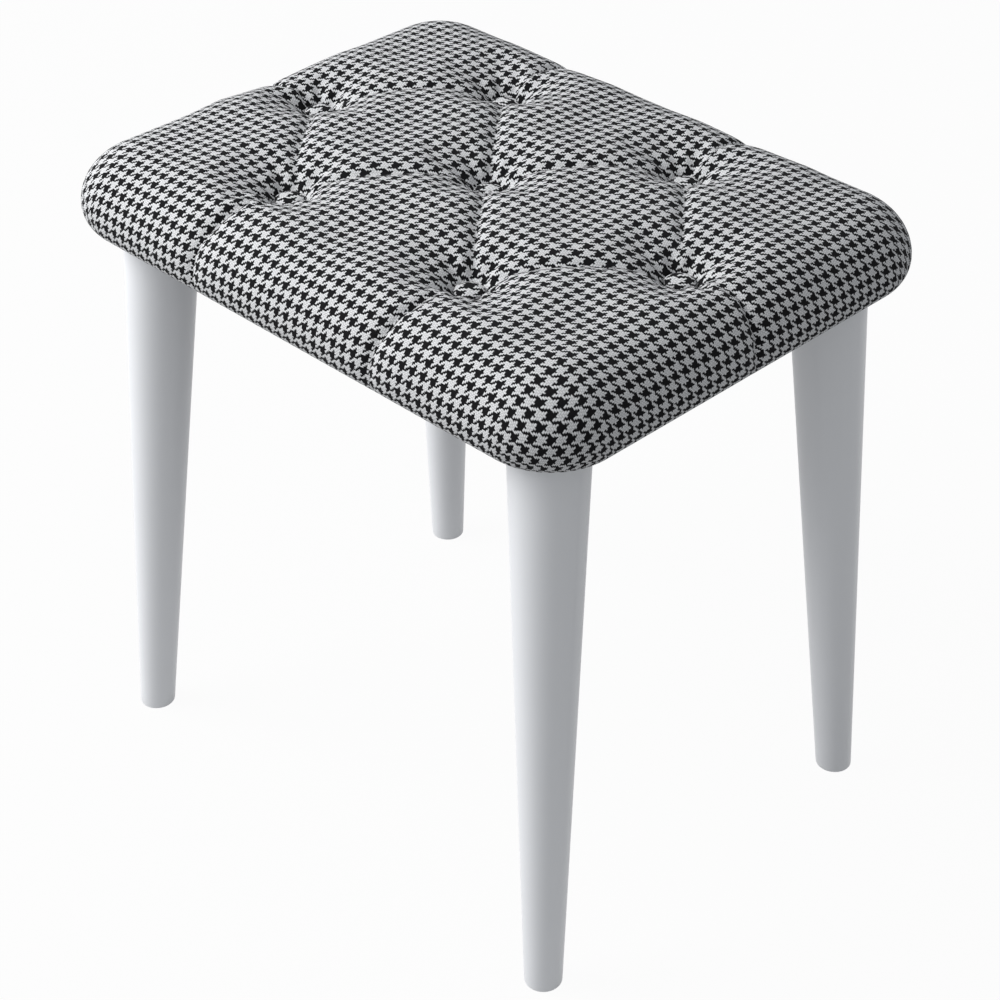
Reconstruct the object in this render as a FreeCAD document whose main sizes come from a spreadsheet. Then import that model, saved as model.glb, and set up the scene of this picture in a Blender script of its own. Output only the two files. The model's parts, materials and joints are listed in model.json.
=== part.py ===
import FreeCAD, Part
import math
import os

import Sketcher

# Tufted footstool: a foam seat in a stapled fabric cover, drawn down by seven buttons,
# on four splayed conical legs that screw into angled plates under the board.
# The origin is on the floor under the middle of the seat, +X along its length and +Z up.

Vector = FreeCAD.Vector
UP = Vector(0, 0, 1)

# Driving dimensions in millimetres, each with what it measures.
SIZES = {
    "seat_length": (450, "seat over its widest level, along X"),
    "seat_width": (350, "seat over its widest level, along Y"),
    "seat_corner_radius": (50, "seat corner in plan, at the widest level"),
    "shoulder_corner_radius": (9, "seat corner in plan, at the top of the shoulder"),
    "seat_underside": (402, "floor to the underside of the board"),
    "widest_height": (17, "underside of the board to the widest level"),
    "shoulder_run": (47.5, "rolled shoulder, across"),
    "shoulder_rise": (38, "rolled shoulder, up"),
    "crown_run": (52.5, "crown, from the shoulder inwards"),
    "crown_rise": (3, "crown, from the shoulder up"),
    "lower_draw_in": (11, "how far the cover is drawn in below the widest level"),
    "cover_thickness": (1.2, "woven cover"),
    "cover_return": (34, "cover turned under the board"),
    "board_inset": (14, "widest level to the edge of the board"),
    "board_thickness": (15, "plywood board"),
    "tuft_margin_x": (65, "end tufts from the widest level"),
    "tuft_margin_y": (80, "side tufts from the widest level"),
    "tuft_depth": (19, "top of the crown down to a button's seat"),
    "tuft_seat_diameter": (20, "flat seat under a button"),
    "tuft_mouth_diameter": (76, "hollow round a button at the top"),
    "tuft_hole_diameter": (6, "hole for the twine through board and foam"),
    "pleat_depth": (5.5, "pleat midway between two tufts"),
    "pleat_width": (30, "pleat midway between two tufts"),
    "edge_pleat_depth": (3, "pleat from a tuft over the shoulder"),
    "edge_pleat_width": (18, "pleat from a tuft over the shoulder"),
    "button_diameter": (19, "covered button"),
    "button_height": (5.5, "covered button, from its seat to its crown"),
    "button_edge": (3.2, "bevelled edge of the button"),
    "eye_wire": (1.2, "wire of the button's eye"),
    "eye_width": (5, "button's eye, outside"),
    "eye_drop": (3.4, "button's eye, below the button's seat"),
    "twine_diameter": (1, "waxed tufting twine"),
    "staple_crown": (10, "staple, outside its legs"),
    "staple_leg": (8, "staple leg"),
    "staple_wire": (0.6, "staple wire"),
    "cover_staple_inset": (27, "edge of the board to the cover's staples"),
    "cover_staple_spacing": (70, "cover's staples, at most"),
    "dust_thickness": (0.6, "non-woven dust cover"),
    "dust_inset": (8, "edge of the board to the edge of the dust cover"),
    "dust_hem": (12, "dust cover folded under at its edge"),
    "dust_staple_spacing": (95, "dust cover's staples, at most"),
    "plate_margin": (36, "edge of the board to the middle of a leg plate"),
    "plate_width": (50, "leg plate, square"),
    "plate_chamfer": (10, "cut corners of a leg plate"),
    "plate_thickness": (2, "flange of a leg plate"),
    "plate_clearance": (1, "cloth round a leg plate"),
    "boss_diameter": (28, "boss of a leg plate"),
    "boss_depth": (8, "underside of the board to the top of a leg, along its axis"),
    "screw_spacing": (35, "screws of a leg plate"),
    "screw_head": (8, "hexagon head, over its corners"),
    "screw_head_height": (2.2, "hexagon head"),
    "screw_shank": (4, "screw shank"),
    "screw_length": (14, "screw under its head"),
    "bolt_diameter": (8, "hanger bolt"),
    "bolt_in_leg": (35, "hanger bolt in the leg"),
    "bolt_below_board": (1, "end of the hanger bolt below the board, along its axis"),
    "leg_splay": (25, "foot from the leg's plate, outwards along X and along Y"),
    "leg_top_diameter": (50, "leg at its plate"),
    "leg_foot_diameter": (25, "leg at the floor"),
}

# Sizes that follow from the driving ones.
BOARD_LENGTH = "(Sizes.seat_length - 2 * Sizes.board_inset)"
BOARD_WIDTH = "(Sizes.seat_width - 2 * Sizes.board_inset)"
BOARD_CORNER = "(Sizes.seat_corner_radius - Sizes.board_inset)"
PLATE_X = f"({BOARD_LENGTH} / 2 - Sizes.plate_margin)"
PLATE_Y = f"({BOARD_WIDTH} / 2 - Sizes.plate_margin)"
PLATE_HALF = "(Sizes.plate_width / 2)"
PLATE_OPENING = f"({PLATE_HALF} + Sizes.plate_clearance)"
TUFT_X = "(Sizes.seat_length / 2 - Sizes.tuft_margin_x)"
TUFT_Y = "(Sizes.seat_width / 2 - Sizes.tuft_margin_y)"
SEAT_TOP = "(Sizes.seat_underside + Sizes.widest_height + Sizes.shoulder_rise + Sizes.crown_rise)"
TUFT_SEAT = f"({SEAT_TOP} - Sizes.tuft_depth)"
LEG_TILT = "atan(sqrt(2) * Sizes.leg_splay / Sizes.seat_underside)"
LEG_REACH = f"(Sizes.seat_underside / cos({LEG_TILT}))"
LEG_LENGTH = f"({LEG_REACH} - Sizes.boss_depth)"
LEG_TAPER = f"((Sizes.leg_top_diameter - Sizes.leg_foot_diameter) / 2 / {LEG_LENGTH})"

# Flats of the seat's form: along the drawn-in side, up the shoulder, round a corner and in a tuft's hollow.
SIDE_STEPS = 2
SHOULDER_STEPS = 4
CORNER_STEPS = 4
HOLLOW_STEPS = 2
HOLLOW_SIDES = 8
# A pleat's stations, as shares of its run, and its knee, as shares of its half width and of its depth.
PLEAT_STATIONS = (0.08, 0.5, 0.92)
KNEE_WIDTH = 0.45
KNEE_DEPTH = 0.35
# Flats of a covered button, a hanger bolt and its bores, a screw, a boss and a twine hole.
BUTTON_SIDES = 12
BOLT_SIDES = 12
SCREW_SIDES = 6
BOSS_SIDES = 8
HOLE_SIDES = 8
# How far cutters stand proud of what they cut, and a length that is past any face.
PROUD = 0.6
BEYOND = 5
TINY = 1e-6

# The side of the stool that each leg stands at, and the way that it leans in plan.
CORNERS = {
    "front_left": (-1, -1, 225),
    "front_right": (1, -1, 315),
    "back_left": (-1, 1, 135),
    "back_right": (1, 1, 45),
}
# The tufts, in half steps along X and steps along Y.
TUFTS = ((-2, 0), (0, 0), (2, 0), (-1, -1), (1, -1), (-1, 1), (1, 1))

doc = FreeCAD.newDocument("Footstool")
sheet = doc.addObject("Spreadsheet::Sheet", "Sizes")
nodes = []


def fill_sheet():
    """Writes the driving dimensions, each with its alias."""
    for row, (alias, (value, note)) in enumerate(SIZES.items(), 1):
        sheet.set(f"A{row}", note)
        sheet.set(f"B{row}", str(value))
        sheet.setAlias(f"B{row}", alias)
    doc.recompute()


def measure(expression):
    """The value of an expression on the sheet, in millimetres or degrees."""
    value = sheet.evalExpression(expression)
    return float(getattr(value, "Value", value))


def size(alias):
    """The value of one driving dimension."""
    return measure(f"Sizes.{alias}")


# Sketches and features


def new_sketch(body, name, role, tilt=None, lift=None, lean=None):
    """A sketch on one of the body's origin planes, turned about its normal, lifted or leant towards -X."""
    sketch = body.newObject("Sketcher::SketchObject", name)
    plane = next(f for f in body.Origin.OriginFeatures if f.Role == role)
    sketch.AttachmentSupport = [(plane, "")]
    sketch.MapMode = "FlatFace"
    if lean:
        sketch.AttachmentOffset = FreeCAD.Placement(Vector(), FreeCAD.Rotation(Vector(0, -1, 0), 1))
    if tilt or lean:
        sketch.setExpression("AttachmentOffset.Rotation.Angle", tilt or lean)
    if lift:
        sketch.setExpression("AttachmentOffset.Base.z", lift)
    return sketch


def place_point(sketch, geometry, position, across, up):
    """Ties a point of a sketch to its distance from the origin along both axes."""
    for kind, axis, expression in (("DistanceX", -2, across), ("DistanceY", -1, up)):
        value = measure(expression)
        if abs(value) < TINY:
            sketch.addConstraint(Sketcher.Constraint("PointOnObject", geometry, position, axis))
            continue
        index = sketch.addConstraint(Sketcher.Constraint(kind, -1, 1, geometry, position, value))
        sketch.setExpression(f"Constraints[{index}]", expression)


def draw_polygon(sketch, corners):
    """Straight lines through corners, each a pair of expressions."""
    points = [Vector(measure(across), measure(up), 0) for across, up in corners]
    first = sketch.GeometryCount
    count = len(points)
    for i, point in enumerate(points):
        sketch.addGeometry(Part.LineSegment(point, points[(i + 1) % count]))
    for i in range(count):
        follower = first + (i + 1) % count
        sketch.addConstraint(Sketcher.Constraint("Coincident", first + i, 2, follower, 1))
    for i, (across, up) in enumerate(corners):
        place_point(sketch, first + i, 1, across, up)


def draw_rectangle(sketch, length, width):
    """A rectangle about the origin."""
    x, y = f"{length} / 2", f"{width} / 2"
    draw_polygon(sketch, [(f"-{x}", f"-{y}"), (x, f"-{y}"), (x, y), (f"-{x}", y)])


def draw_regular(sketch, sides, diameter, across="0", up="0"):
    """A regular polygon at a place, with its size over its corners."""
    angles = [f"{360 * k / sides} deg" for k in range(sides)]
    corners = [(f"{diameter} / 2 * cos({a})", f"{diameter} / 2 * sin({a})") for a in angles]
    draw_polygon(sketch, [(f"{across} + {x}", f"{up} + {y}") for x, y in corners])


def draw_plate(sketch, half):
    """A leg plate's outline, a square with cut corners, given by half its width."""
    flat = f"({half} - Sizes.plate_chamfer)"
    corners = [(half, f"-{flat}"), (half, flat), (flat, half), (f"-{flat}", half)]
    draw_polygon(sketch, corners + [(f"-{x}", f"-{y}") for x, y in corners])


def draw_hook(sketch, crown, wire, low, high):
    """A U of square wire, open upwards: its outside width, its wire, and the heights of its crown and ends."""
    half = f"{crown} / 2"
    inner = f"({half} - {wire})"
    draw_polygon(
        sketch,
        [
            (f"-{half}", low),
            (half, low),
            (half, high),
            (inner, high),
            (inner, f"{low} + {wire}"),
            (f"-{inner}", f"{low} + {wire}"),
            (f"-{inner}", high),
            (f"-{half}", high),
        ],
    )


def pad(body, sketch, name, length, downwards=False, both_ways=False):
    """A pad of a sketch, with its length as an expression."""
    feature = body.newObject("PartDesign::Pad", name)
    feature.Profile = sketch
    feature.Reversed = downwards
    feature.Midplane = both_ways
    feature.setExpression("Length", length)
    doc.recompute()
    return feature


def pocket(body, sketch, name, length, upwards=False, both_ways=False):
    """A pocket of a sketch, which must take material away."""
    before = body.Shape.Volume
    feature = body.newObject("PartDesign::Pocket", name)
    feature.Profile = sketch
    feature.Reversed = upwards
    feature.Midplane = both_ways
    feature.setExpression("Length", length)
    doc.recompute()
    if body.Shape.Volume >= before:
        raise RuntimeError(f"{name} cuts nothing")
    return feature


def turn(body, sketch, name):
    """A full turn of a sketch about its own upright axis."""
    feature = body.newObject("PartDesign::Revolution", name)
    feature.Profile = sketch
    feature.ReferenceAxis = (sketch, ["V_Axis"])
    feature.Angle = 360
    doc.recompute()
    return feature


def dress_edges(body, base, name, kind, setting, expression, wanted):
    """Rounds or breaks the edges of a feature that pass a test."""
    names = [f"Edge{i}" for i, edge in enumerate(base.Shape.Edges, 1) if wanted(edge)]
    feature = body.newObject(kind, name)
    feature.Base = (base, names)
    feature.setExpression(setting, expression)
    doc.recompute()
    return feature


def is_upright(edge):
    """True for a straight edge along Z."""
    ends = edge.Vertexes
    return len(ends) == 2 and (ends[0].Point - ends[1].Point).cross(UP).Length < TINY


# Sub-parts


def keep(feature, label):
    """Names a sub-part and adds it to what is written."""
    feature.Label = label
    nodes.append(feature)
    return feature


def keep_shape(shape, label):
    """A sub-part whose shape is worked out here."""
    feature = doc.addObject("Part::Feature", label)
    feature.Shape = shape
    return keep(feature, label)


def copies(body, placements):
    """A group of copies of one body."""
    solids = []
    for placement in placements:
        copy = body.Shape.copy()
        copy.Placement = placement
        solids.append(copy)
    return Part.makeCompound(solids)


def cut(base, tool, label):
    """A sub-part that is a solid less another sub-part."""
    feature = doc.addObject("Part::Cut", label)
    feature.Base = base
    feature.Tool = tool
    doc.recompute()
    return keep(feature, label)


def moved(offset, angle=0):
    """A placement: an offset and a turn about Z."""
    return FreeCAD.Placement(offset, FreeCAD.Rotation(angle, 0, 0))


def tuft_places():
    """The tufts in plan."""
    x, y = measure(TUFT_X) / 2, measure(TUFT_Y)
    return [Vector(i * x, j * y, 0) for i, j in TUFTS]


def plate_places():
    """The middle of each leg plate on the underside, with its turn in plan."""
    x, y, z = measure(PLATE_X), measure(PLATE_Y), size("seat_underside")
    return [(Vector(i * x, j * y, z), angle) for i, j, angle in CORNERS.values()]


def plate_frame(corner, tilt="0"):
    """Expression that puts a body at a leg plate, facing outwards, and leans it with the leg."""
    i, j, angle = CORNERS[corner]
    place = f"vector({i} * {PLATE_X}; {j} * {PLATE_Y}; Sizes.seat_underside)"
    return f"placement({place}; rotation({angle}; -{tilt}; 0))"


# Legs and what holds them


def make_leg(corner):
    """Conical leg turned on its own axis, bored for its bolt and cut level with the floor."""
    body = doc.addObject("PartDesign::Body", f"Leg_{corner}")
    outline = new_sketch(body, f"Taper_{corner}", "XZ_Plane")
    top, past = "-Sizes.boss_depth", f"(-{LEG_REACH} - {BEYOND})"
    wide, narrow = "Sizes.leg_top_diameter", f"Sizes.leg_foot_diameter / 2 - {BEYOND} * {LEG_TAPER}"
    draw_polygon(outline, [("0", top), (f"{wide} / 2", top), (narrow, past), ("0", past)])
    turn(body, outline, f"Turned_{corner}")
    bore = new_sketch(body, f"Bore_{corner}", "XY_Plane", lift=top)
    draw_regular(bore, BOLT_SIDES, "Sizes.bolt_diameter")
    pocket(body, bore, f"BoreCut_{corner}", "Sizes.bolt_in_leg")
    level = new_sketch(body, f"Level_{corner}", "XZ_Plane", tilt=f"-{LEG_TILT}")
    out, floor = "Sizes.leg_splay * sqrt(2)", "-Sizes.seat_underside"
    left, right, below = f"{out} - {wide}", f"{out} + {wide}", f"{floor} - {wide}"
    draw_polygon(level, [(left, floor), (left, below), (right, below), (right, floor)])
    pocket(body, level, f"Sole_{corner}", f"2 * {wide}", both_ways=True)
    body.setExpression("Placement", plate_frame(corner, LEG_TILT))
    return keep(body, f"leg_{corner}")


def make_bolt(corner):
    """Hanger bolt in the leg's axis, from the leg through the plate's boss."""
    body = doc.addObject("PartDesign::Body", f"Bolt_{corner}")
    rod = new_sketch(body, f"Rod_{corner}", "XY_Plane", lift="-Sizes.boss_depth - Sizes.bolt_in_leg")
    draw_regular(rod, BOLT_SIDES, "Sizes.bolt_diameter")
    pad(body, rod, f"RodPad_{corner}", "Sizes.bolt_in_leg + Sizes.boss_depth - Sizes.bolt_below_board")
    body.setExpression("Placement", plate_frame(corner, LEG_TILT))
    return keep(body, f"hanger_bolt_{corner}")


def make_plate(corner, screws):
    """Leg plate: a flange with cut corners and a boss bored square to the leg."""
    body = doc.addObject("PartDesign::Body", f"Plate_{corner}")
    flange = new_sketch(body, f"Flange_{corner}", "XY_Plane")
    draw_plate(flange, PLATE_HALF)
    pad(body, flange, f"FlangePad_{corner}", "Sizes.plate_thickness", downwards=True)
    boss = new_sketch(body, f"Boss_{corner}", "XY_Plane", lean=LEG_TILT)
    draw_regular(boss, BOSS_SIDES, "Sizes.boss_diameter")
    pad(body, boss, f"BossPad_{corner}", "Sizes.boss_depth", downwards=True)
    face = new_sketch(body, f"Face_{corner}", "XY_Plane")
    draw_plate(face, PLATE_HALF)
    pocket(body, face, f"FaceCut_{corner}", f"{BEYOND}", upwards=True)
    thread = new_sketch(body, f"Thread_{corner}", "XY_Plane", lean=LEG_TILT)
    draw_regular(thread, BOLT_SIDES, "Sizes.bolt_diameter")
    pocket(body, thread, f"ThreadCut_{corner}", f"2 * (Sizes.boss_depth + {BEYOND})", both_ways=True)
    body.setExpression("Placement", plate_frame(corner))
    return cut(body, screws, f"leg_plate_{corner}")


def make_screws():
    """Hexagon-headed screws of the leg plates, with their shanks drawn as hexagons too."""
    body = doc.addObject("PartDesign::Body", "PlateScrew")
    head = new_sketch(body, "ScrewHead", "XY_Plane")
    draw_regular(head, SCREW_SIDES, "Sizes.screw_head")
    pad(body, head, "ScrewHeadPad", "Sizes.screw_head_height", downwards=True)
    shank = new_sketch(body, "ScrewShank", "XY_Plane")
    draw_regular(shank, SCREW_SIDES, "Sizes.screw_shank")
    pad(body, shank, "ScrewShankPad", "Sizes.screw_length")
    half = size("screw_spacing") / 2
    placements = []
    for place, angle in plate_places():
        turned = FreeCAD.Rotation(angle, 0, 0)
        for i, j, _ in CORNERS.values():
            out = turned.multVec(Vector(i * half, j * half, -size("plate_thickness")))
            placements.append(moved(place + out, angle))
    return keep_shape(copies(body, placements), "plate_screws")


# Board and dust cover


def make_openings():
    """Blocks that cut both cloths away round the leg plates."""
    body = doc.addObject("PartDesign::Body", "PlateOpening")
    sketch = new_sketch(body, "PlateOpeningOutline", "XY_Plane")
    draw_plate(sketch, PLATE_OPENING)
    cloths = f"Sizes.cover_thickness + 2 * Sizes.dust_thickness + {BEYOND}"
    pad(body, sketch, "PlateOpeningPad", cloths, downwards=True)
    feature = doc.addObject("Part::Feature", "PlateOpenings")
    feature.Shape = copies(body, [moved(place, angle) for place, angle in plate_places()])
    return feature


def flat_blank(name, length, width, height, corner_kind, corner_setting, corner):
    """A flat blank with its corners rounded or cut."""
    body = doc.addObject("PartDesign::Body", name)
    sketch = new_sketch(body, f"{name}Outline", "XY_Plane")
    draw_rectangle(sketch, length, width)
    blank = pad(body, sketch, f"{name}Blank", height)
    dress_edges(body, blank, f"{name}Corners", corner_kind, corner_setting, corner, is_upright)
    return body


def make_board(screws):
    """Plywood board with the holes for the twine and the screws."""
    corners = ("PartDesign::Fillet", "Radius", BOARD_CORNER)
    body = flat_blank("Board", BOARD_LENGTH, BOARD_WIDTH, "Sizes.board_thickness", *corners)
    holes = new_sketch(body, "TwineHoles", "XY_Plane")
    for i, j in TUFTS:
        across, up = f"{i} * {TUFT_X} / 2", f"{j} * {TUFT_Y}"
        draw_regular(holes, HOLE_SIDES, "Sizes.tuft_hole_diameter", across, up)
    pocket(body, holes, "TwineHolesCut", "Sizes.board_thickness", upwards=True)
    body.setExpression("Placement.Base.z", "Sizes.seat_underside")
    return cut(body, screws, "seat_board")


def make_dust_cover(openings):
    """Non-woven sheet with its edge folded under and its corners cut off, cut away round the leg plates."""
    length = f"({BOARD_LENGTH} - 2 * Sizes.dust_inset)"
    width = f"({BOARD_WIDTH} - 2 * Sizes.dust_inset)"
    corners = ("PartDesign::Chamfer", "Size", "2 * (Sizes.plate_margin - Sizes.dust_inset)")
    body = flat_blank("Dust", length, width, "2 * Sizes.dust_thickness", *corners)
    field = new_sketch(body, "DustField", "XY_Plane", lift="Sizes.dust_thickness")
    draw_rectangle(field, f"({length} - 2 * Sizes.dust_hem)", f"({width} - 2 * Sizes.dust_hem)")
    pocket(body, field, "DustFieldCut", "Sizes.dust_thickness", upwards=True)
    under = "Sizes.seat_underside - Sizes.cover_thickness - 2 * Sizes.dust_thickness"
    body.setExpression("Placement.Base.z", under)
    return cut(body, openings, "dust_cover")


# Buttons, twine and staples


def make_buttons():
    """Covered buttons with a wire eye, one at each tuft."""
    body = doc.addObject("PartDesign::Body", "Button")
    rim = new_sketch(body, "Rim", "XY_Plane")
    draw_regular(rim, BUTTON_SIDES, "Sizes.button_diameter")
    disc = pad(body, rim, "Disc", "Sizes.button_height")
    height = size("button_height")

    def on_crown(edge):
        return all(abs(vertex.Z - height) < TINY for vertex in edge.Vertexes)

    dress_edges(body, disc, "Crown", "PartDesign::Chamfer", "Size", "Sizes.button_edge", on_crown)
    eye = new_sketch(body, "Eye", "XZ_Plane")
    draw_hook(eye, "Sizes.eye_width", "Sizes.eye_wire", "-Sizes.eye_drop", "Sizes.button_height / 2")
    pad(body, eye, "EyePad", "Sizes.eye_wire", both_ways=True)
    seat = UP * measure(TUFT_SEAT)
    return keep_shape(copies(body, [moved(tuft + seat) for tuft in tuft_places()]), "tuft_buttons")


def make_twines():
    """Twine tied in a loop over the button's eye and under the crown of its staple, one at each tuft."""
    body = doc.addObject("PartDesign::Body", "Twine")
    loop = new_sketch(body, "Loop", "YZ_Plane")
    inner = "Sizes.eye_wire / 2"
    outer = f"({inner} + Sizes.twine_diameter)"
    bend = "Sizes.twine_diameter / 2"
    high = f"({TUFT_SEAT} - Sizes.eye_drop + Sizes.eye_wire)"
    low = "(Sizes.seat_underside - Sizes.staple_wire)"
    top, bottom = f"({high} + Sizes.twine_diameter)", f"({low} - Sizes.twine_diameter)"
    draw_polygon(
        loop,
        [
            (outer, f"{bottom} + {bend}"),
            (outer, f"{top} - {bend}"),
            (f"{outer} - {bend}", top),
            (f"-({outer} - {bend})", top),
            (f"-{outer}", f"{top} - {bend}"),
            (f"-{outer}", f"{bottom} + {bend}"),
            (f"-({outer} - {bend})", bottom),
            (f"{outer} - {bend}", bottom),
        ],
    )
    draw_polygon(loop, [(inner, low), (inner, high), (f"-{inner}", high), (f"-{inner}", low)])
    pad(body, loop, "LoopPad", "Sizes.twine_diameter", both_ways=True)
    return keep_shape(copies(body, [moved(tuft) for tuft in tuft_places()]), "tuft_twines")


def edge_places(inset, spacing, height):
    """Places along the four edges of the board, between the leg plates, no further apart than a spacing."""
    x, y = measure(BOARD_LENGTH) / 2 - inset, measure(BOARD_WIDTH) / 2 - inset
    clear = measure(PLATE_OPENING) * math.sqrt(2) + size("staple_crown")
    placements = []
    for angle, out, half in ((0, y, measure(PLATE_X) - clear), (90, x, measure(PLATE_Y) - clear)):
        gaps = math.ceil(2 * half / spacing)
        turned = FreeCAD.Rotation(angle, 0, 0)
        for side in (-1, 1):
            for k in range(gaps + 1):
                along = Vector(2 * half * k / gaps - half, side * out, height)
                placements.append(moved(turned.multVec(along), angle))
    return placements


def make_staples():
    """Staples of the cover, of the dust cover and of the twine, driven up into the board."""
    body = doc.addObject("PartDesign::Body", "Staple")
    wire = new_sketch(body, "Wire", "XZ_Plane")
    draw_hook(wire, "Sizes.staple_crown", "Sizes.staple_wire", "-Sizes.staple_wire", "Sizes.staple_leg")
    pad(body, wire, "WirePad", "Sizes.staple_wire", both_ways=True)
    underside = size("seat_underside")
    cover = underside - size("cover_thickness")
    rows = edge_places(size("cover_staple_inset"), size("cover_staple_spacing"), cover + size("staple_wire"))
    keep_shape(copies(body, rows), "cover_staples")
    hem = size("dust_inset") + size("dust_hem") / 2
    rows = edge_places(hem, size("dust_staple_spacing"), cover - 2 * size("dust_thickness"))
    keep_shape(copies(body, rows), "dust_cover_staples")
    keep_shape(copies(body, [moved(tuft + UP * underside) for tuft in tuft_places()]), "twine_staples")


# Tufted seat


def seat_outline(inset, height, corner):
    """Corners of the seat's outline at one level, with each round corner in flats."""
    x = size("seat_length") / 2 - inset - corner
    y = size("seat_width") / 2 - inset - corner
    points = []
    for i, j, start in ((1, 1, 0), (-1, 1, 90), (-1, -1, 180), (1, -1, 270)):
        for step in range(CORNER_STEPS + 1):
            angle = math.radians(start + 90 * step / CORNER_STEPS)
            points.append(Vector(i * x + corner * math.cos(angle), j * y + corner * math.sin(angle), height))
    return points


def rounded_block(inset, corner, low, height):
    """Upright block with the seat's outline at an inset and round corners."""
    block = Part.makeBox(
        size("seat_length") - 2 * inset,
        size("seat_width") - 2 * inset,
        height,
        Vector(inset - size("seat_length") / 2, inset - size("seat_width") / 2, low),
    )
    return block.makeFillet(corner, [edge for edge in block.Edges if is_upright(edge)])


def seat_corner(inset):
    """Corner radius of the seat at an inset from its widest level: it tightens up to the top of the shoulder."""
    widest, tight = size("seat_corner_radius"), size("shoulder_corner_radius")
    share = min(inset / size("shoulder_run"), 1)
    return widest + (tight - widest) * share


def seat_levels(depth):
    """Inset and height of the seat's levels, from its lower edge to its crown, for the layer at a depth in it."""
    draw_in = size("lower_draw_in")
    drop = size("widest_height") + size("cover_thickness")
    widest = size("seat_underside") + size("widest_height")
    bulge = (draw_in ** 2 + drop ** 2) / (2 * draw_in)
    lowest = math.asin((drop - depth) / (bulge - depth))
    run, rise = size("shoulder_run"), size("shoulder_rise")
    levels = []
    for step in range(SIDE_STEPS, 0, -1):
        angle = lowest * step / SIDE_STEPS
        levels.append((bulge - (bulge - depth) * math.cos(angle), widest - (bulge - depth) * math.sin(angle)))
    for step in range(SHOULDER_STEPS + 1):
        angle = math.pi / 2 * step / SHOULDER_STEPS
        levels.append((run - (run - depth) * math.cos(angle), widest + (rise - depth) * math.sin(angle)))
    levels.append((run + size("crown_run"), widest + rise + size("crown_rise") - depth))
    return levels


def flat_faces(a, b, c, d):
    """One face through four corners, or two where they don't lie flat."""
    if abs((b - a).cross(c - a).dot(d - a)) < TINY:
        return [Part.Face(Part.makePolygon([a, b, c, d, a]))]
    return [Part.Face(Part.makePolygon([a, b, c, a])), Part.Face(Part.makePolygon([a, c, d, a]))]


def skin(sections):
    """Solid of flat faces through sections of as many corners each."""
    faces = [Part.Face(Part.makePolygon(end + end[:1])) for end in (sections[0], sections[-1])]
    for near, far in zip(sections, sections[1:]):
        for k in range(len(near)):
            after = (k + 1) % len(near)
            faces += flat_faces(near[k], near[after], far[after], far[k])
    solid = Part.Solid(Part.Shell(faces))
    return solid if solid.Volume > 0 else solid.reversed()


def hollow():
    """Cutter for the hollow round a button: a flat seat and a wall that rolls out to the top."""
    inner, outer = size("tuft_seat_diameter") / 2, size("tuft_mouth_diameter") / 2
    low, rise = measure(TUFT_SEAT), size("tuft_depth") + PROUD
    sections = []
    for step in range(HOLLOW_STEPS + 1):
        angle = math.pi / 2 * step / HOLLOW_STEPS
        radius = outer - (outer - inner) * math.cos(angle)
        height = low + rise * math.sin(angle)
        turns = [2 * math.pi * k / HOLLOW_SIDES for k in range(HOLLOW_SIDES)]
        sections.append([Vector(radius * math.cos(t), radius * math.sin(t), height) for t in turns])
    return skin(sections)


def pleat_section(place, outward, across, depth, half, knee=True):
    """Corners of a pleat's section: two flanks, rolled at the knee, that meet in a crease below the surface."""
    up = PROUD - KNEE_DEPTH * (depth + PROUD)
    left = [(-half, PROUD), (-KNEE_WIDTH * half, up)] if knee else [(-half, PROUD)]
    right = [(-side, high) for side, high in reversed(left)]
    return [place + across * side + outward * high for side, high in left + [(0, -depth)] + right]


def pleat(start, end):
    """Cutter for the pleat between two tufts, which widens as it deepens towards both."""
    run = end - start
    across = run.cross(UP).normalize()
    shallow, deep = size("pleat_depth"), size("tuft_depth") - size("cover_thickness")
    spread = size("pleat_width") / 2 / (shallow + PROUD)
    sections = []
    for share in PLEAT_STATIONS:
        depth = shallow + (deep - shallow) * (2 * share - 1) ** 2
        place = start + run * share + UP * measure(SEAT_TOP)
        sections.append(pleat_section(place, UP, across, depth, spread * (depth + PROUD)))
    return skin(sections)


def edge_pleat(tuft, outward, depth):
    """Cutter for the pleat from a tuft out over the shoulder, fading down the side, on the layer at a depth."""
    half = size("seat_length") / 2 if outward.x else size("seat_width") / 2
    levels = seat_levels(depth)
    shoulder, crown = levels[-2], levels[-1]
    inset = half - tuft.dot(outward)
    share = (inset - shoulder[0]) / (crown[0] - shoulder[0])
    start = (inset, shoulder[1] + share * (crown[1] - shoulder[1]))
    below = (2 * levels[0][0] - levels[1][0], 2 * levels[0][1] - levels[1][1])
    aside = tuft - outward * tuft.dot(outward)
    places = [aside + outward * (half - i) + UP * z for i, z in [start] + levels[-2::-1] + [below]]
    across = outward.cross(UP)
    steps = [b - a for a, b in zip(places, places[1:])]
    normals = [across.cross(step).normalize() for step in steps]
    length = sum(step.Length for step in steps)
    deepest = size("edge_pleat_depth")
    spread = size("edge_pleat_width") / 2 / (deepest + PROUD)
    sections = []
    for k, place in enumerate(places):
        before, after = normals[max(k - 1, 0)], normals[min(k, len(normals) - 1)]
        mitre = (before + after) / (1 + before.dot(after))
        deep = deepest * (1 - sum(step.Length for step in steps[:k]) / length)
        sections.append(pleat_section(place, mitre, across, deep, spread * (deep + PROUD), knee=False))
    return skin(sections)


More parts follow.
